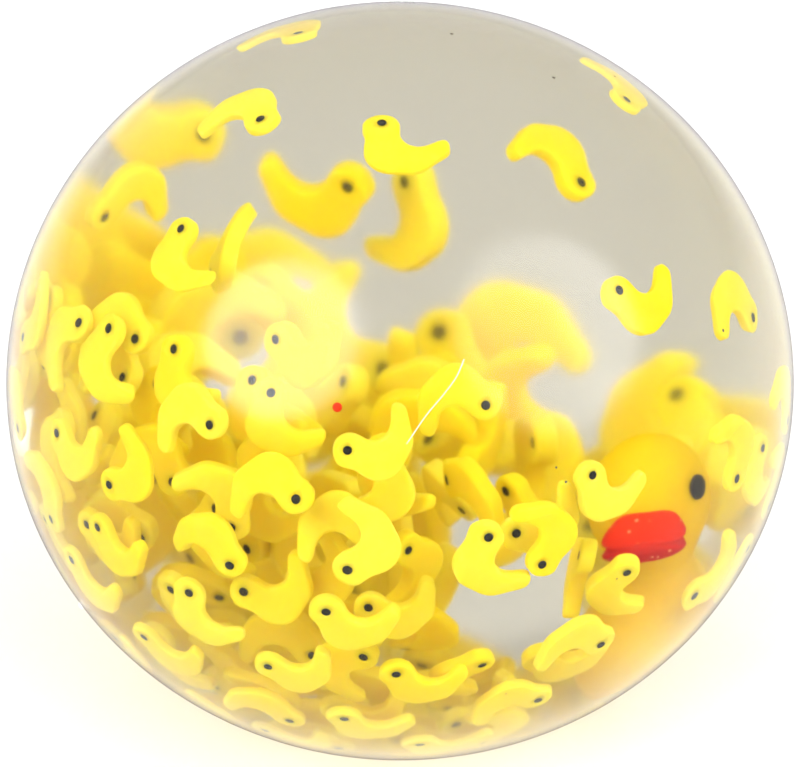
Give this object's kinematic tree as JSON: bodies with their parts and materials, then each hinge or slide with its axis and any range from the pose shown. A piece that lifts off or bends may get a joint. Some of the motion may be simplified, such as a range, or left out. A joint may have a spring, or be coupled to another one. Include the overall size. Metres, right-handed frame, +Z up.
{
  "type": "clear squeeze ball with ducks inside",
  "caption": "Soft clear liquid-filled squeeze ball, flattened where it rests, holding thin yellow duck slices and a small toy duck with a red bill.",
  "frame": {"origin": "middle of the flat patch that the ball rests on", "axes": "+Z up out of the crown, -Y towards the front that the picture shows, +X to the right"},
  "size_m": [0.07, 0.07, 0.063],
  "materials": {
    "clear_rubber": "gloss",
    "clear_plug": "satin",
    "clear_glue": "gloss",
    "liquid": "gloss",
    "slice_yellow": "satin",
    "eye_black": "satin",
    "duck_yellow": "satin",
    "bill_red": "satin",
    "duck_black": "gloss"
  },
  "bodies": {
    "ball_skin": {"skin": "clear_rubber"},
    "port_plug": {"fill_plug": "clear_plug", "plug_seal": "clear_glue"},
    "filling": {"liquid_fill": "liquid", "heap_eyes_core": "eye_black", "heap_eyes_fifth": "eye_black", "heap_eyes_fourth": "eye_black", "heap_eyes_second": "eye_black", "heap_eyes_third": "eye_black", "heap_eyes_wall": "eye_black", "heap_slices_core": "slice_yellow", "heap_slices_fifth": "slice_yellow", "heap_slices_fourth": "slice_yellow", "heap_slices_second": "slice_yellow", "heap_slices_third": "slice_yellow", "heap_slices_wall": "slice_yellow", "stray_eyes": "eye_black", "stray_slices": "slice_yellow"},
    "toy_duck": {"duck_body": "duck_yellow", "duck_bill": "bill_red", "duck_eyes": "duck_black"},
    "float_1": {"float_slice_1": "slice_yellow", "float_eye_1": "eye_black"},
    "float_2": {"float_slice_2": "slice_yellow", "float_eye_2": "eye_black"},
    "float_3": {"float_slice_3": "slice_yellow", "float_eye_3": "eye_black"},
    "float_4": {"float_slice_4": "slice_yellow", "float_eye_4": "eye_black"},
    "float_5": {"float_slice_5": "slice_yellow", "float_eye_5": "eye_black"},
    "float_6": {"float_slice_6": "slice_yellow", "float_eye_6": "eye_black"},
    "float_7": {"float_slice_7": "slice_yellow", "float_eye_7": "eye_black"},
    "float_8": {"float_slice_8": "slice_yellow", "float_eye_8": "eye_black"},
    "float_9": {"float_slice_9": "slice_yellow", "float_eye_9": "eye_black"}
  },
  "joints": [
    {"name": "squeeze", "type": "slide", "parent": "ball_skin", "child": "port_plug", "axis": [0.2588, -0.9659, 0], "range_m": [0, 0.016], "stiffness_N_per_m": 300, "deforming": ["skin", "liquid_fill"]},
    {"name": "swirl", "type": "hinge", "parent": "ball_skin", "child": "filling", "pos_m": [0, 0, 0.0295], "axis": [0, 0, 1], "continuous": true},
    {"name": "duck_bob", "type": "slide", "parent": "filling", "child": "toy_duck", "axis": [0, 0, 1], "range_m": [0, 0.008]},
    {"name": "float_spin_1", "type": "hinge", "parent": "filling", "child": "float_1", "pos_m": [-0.0124, -0.00337, 0.05635], "axis": [-0.4082, -0.1094, 0.9063], "continuous": true},
    {"name": "float_spin_2", "type": "hinge", "parent": "filling", "child": "float_2", "pos_m": [-0.00028, -0.01061, 0.05722], "axis": [0, -0.342, 0.9397], "continuous": true},
    {"name": "float_spin_3", "type": "hinge", "parent": "filling", "child": "float_3", "pos_m": [0.01105, 0.00111, 0.04695], "axis": [0.6765, -0.206, 0.707], "continuous": true},
    {"name": "float_spin_4", "type": "hinge", "parent": "filling", "child": "float_4", "pos_m": [-0.01783, -0.0146, 0.04923], "axis": [-0.5693, -0.4777, 0.6691], "continuous": true},
    {"name": "float_spin_5", "type": "hinge", "parent": "filling", "child": "float_5", "pos_m": [-0.0131, -0.00935, 0.0459], "axis": [-0.9739, 0.0747, 0.2145], "continuous": true},
    {"name": "float_spin_6", "type": "hinge", "parent": "filling", "child": "float_6", "pos_m": [0.01933, -0.01656, 0.04634], "axis": [0.6275, -0.5265, 0.5736], "continuous": true},
    {"name": "float_spin_7", "type": "hinge", "parent": "filling", "child": "float_7", "pos_m": [0.02682, -0.00843, 0.04147], "axis": [0.8688, -0.2823, 0.4067], "continuous": true},
    {"name": "float_spin_8", "type": "hinge", "parent": "filling", "child": "float_8", "pos_m": [-0.00894, 0.0092, 0.05614], "axis": [-0.2776, 0.4285, 0.8598], "continuous": true},
    {"name": "float_spin_9", "type": "hinge", "parent": "filling", "child": "float_9", "pos_m": [0.01762, 0.00623, 0.05274], "axis": [0.6634, 0.1279, 0.7372], "continuous": true}
  ]
}
